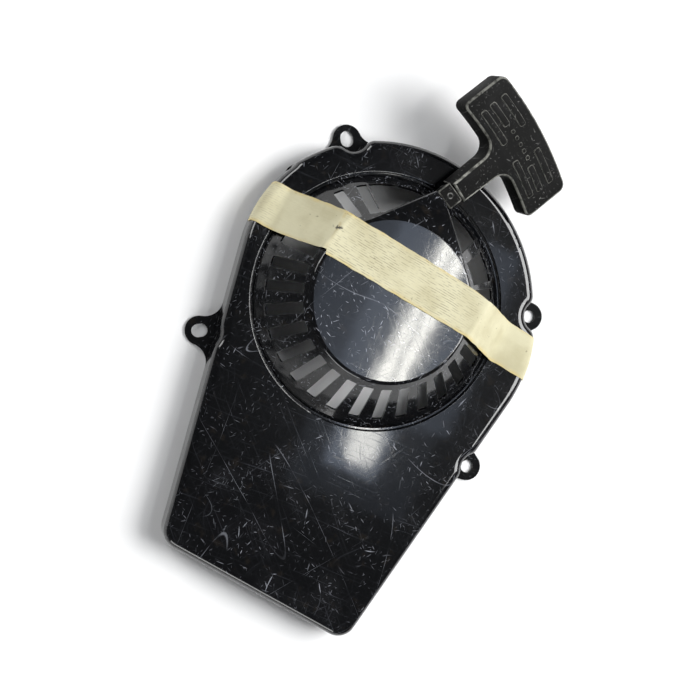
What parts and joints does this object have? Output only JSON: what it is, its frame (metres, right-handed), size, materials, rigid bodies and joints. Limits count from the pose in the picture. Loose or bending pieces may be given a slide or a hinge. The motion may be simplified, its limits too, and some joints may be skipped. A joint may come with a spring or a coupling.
{
  "type": "recoil starter",
  "caption": "Pull-cord starter for a small engine: pressed steel fan cover with slotted dome, T-grip on a rope, sprung reel and ratchet behind it.",
  "frame": {"origin": "the crank (reel) axis on the rear mounting plane of the cover", "axes": "+Z along the reel axis out of the cover's face, +Y towards the arched top, +X to the right seen from the front"},
  "size_m": [0.1836, 0.2968, 0.0486],
  "materials": {
    "steel_black_paint": "glossy black enamel on pressed steel, scratched and scuffed",
    "zinc_steel": "zinc-plated steel",
    "reel_nylon": "moulded glass-filled nylon",
    "black_plastic": "moulded black plastic with worn edges",
    "masking_tape": "cream crepe-paper tape",
    "braided_rope": "braided nylon cord",
    "bronze_bush": "sintered bronze, oiled",
    "spring_steel": "blued spring steel",
    "pawl_steel": "hardened steel stamping"
  },
  "bodies": {
    "housing": {"fan_cover": "steel_black_paint", "starter_case": "steel_black_paint", "rope_guide": "black_plastic", "masking_tape_label": "masking_tape", "reel_post": "zinc_steel", "thrust_washer": "zinc_steel", "center_bolt": "zinc_steel", "friction_spring": "spring_steel", "friction_washer": "zinc_steel"},
    "reel": {"reel": "reel_nylon", "reel_bush": "bronze_bush", "rope_coil": "braided_rope", "recoil_spring": "spring_steel"},
    "ratchet_plate": {"friction_plate": "zinc_steel"},
    "pawl_a": {"pawl_a": "pawl_steel"},
    "pawl_b": {"pawl_b": "pawl_steel"},
    "handle": {"starter_grip": "black_plastic", "grip_washer": "zinc_steel", "grip_knot": "braided_rope", "rope_lead": "braided_rope"}
  },
  "joints": [
    {"name": "handle_pull", "type": "slide", "parent": "housing", "child": "handle", "axis": [0.3584, 0.9336, 0], "range_m": [0, 0.75], "deforming": ["rope_lead"]},
    {"name": "reel_spin", "type": "hinge", "parent": "housing", "child": "reel", "pos_m": [0, 0, 0.032], "axis": [0, 0, -1], "range_deg": [0, 1660], "deforming": ["recoil_spring"]},
    {"name": "friction_plate_turn", "type": "hinge", "parent": "reel", "child": "ratchet_plate", "pos_m": [0, 0, 0.021], "axis": [0, 0, 1], "range_deg": [0, 25]},
    {"name": "pawl_a_swing", "type": "hinge", "parent": "reel", "child": "pawl_a", "pos_m": [0.02, 0, 0.025], "axis": [0, 0, 1], "range_deg": [0, 25]},
    {"name": "pawl_b_swing", "type": "hinge", "parent": "reel", "child": "pawl_b", "pos_m": [-0.02, 0, 0.025], "axis": [0, 0, 1], "range_deg": [0, 25]}
  ],
  "couplings": [
    {"joint": "reel_spin", "follows": "handle_pull", "rad_per_m": 38.462},
    {"joint": "pawl_a_swing", "follows": "friction_plate_turn", "ratio": 1},
    {"joint": "pawl_b_swing", "follows": "friction_plate_turn", "ratio": 1}
  ]
}
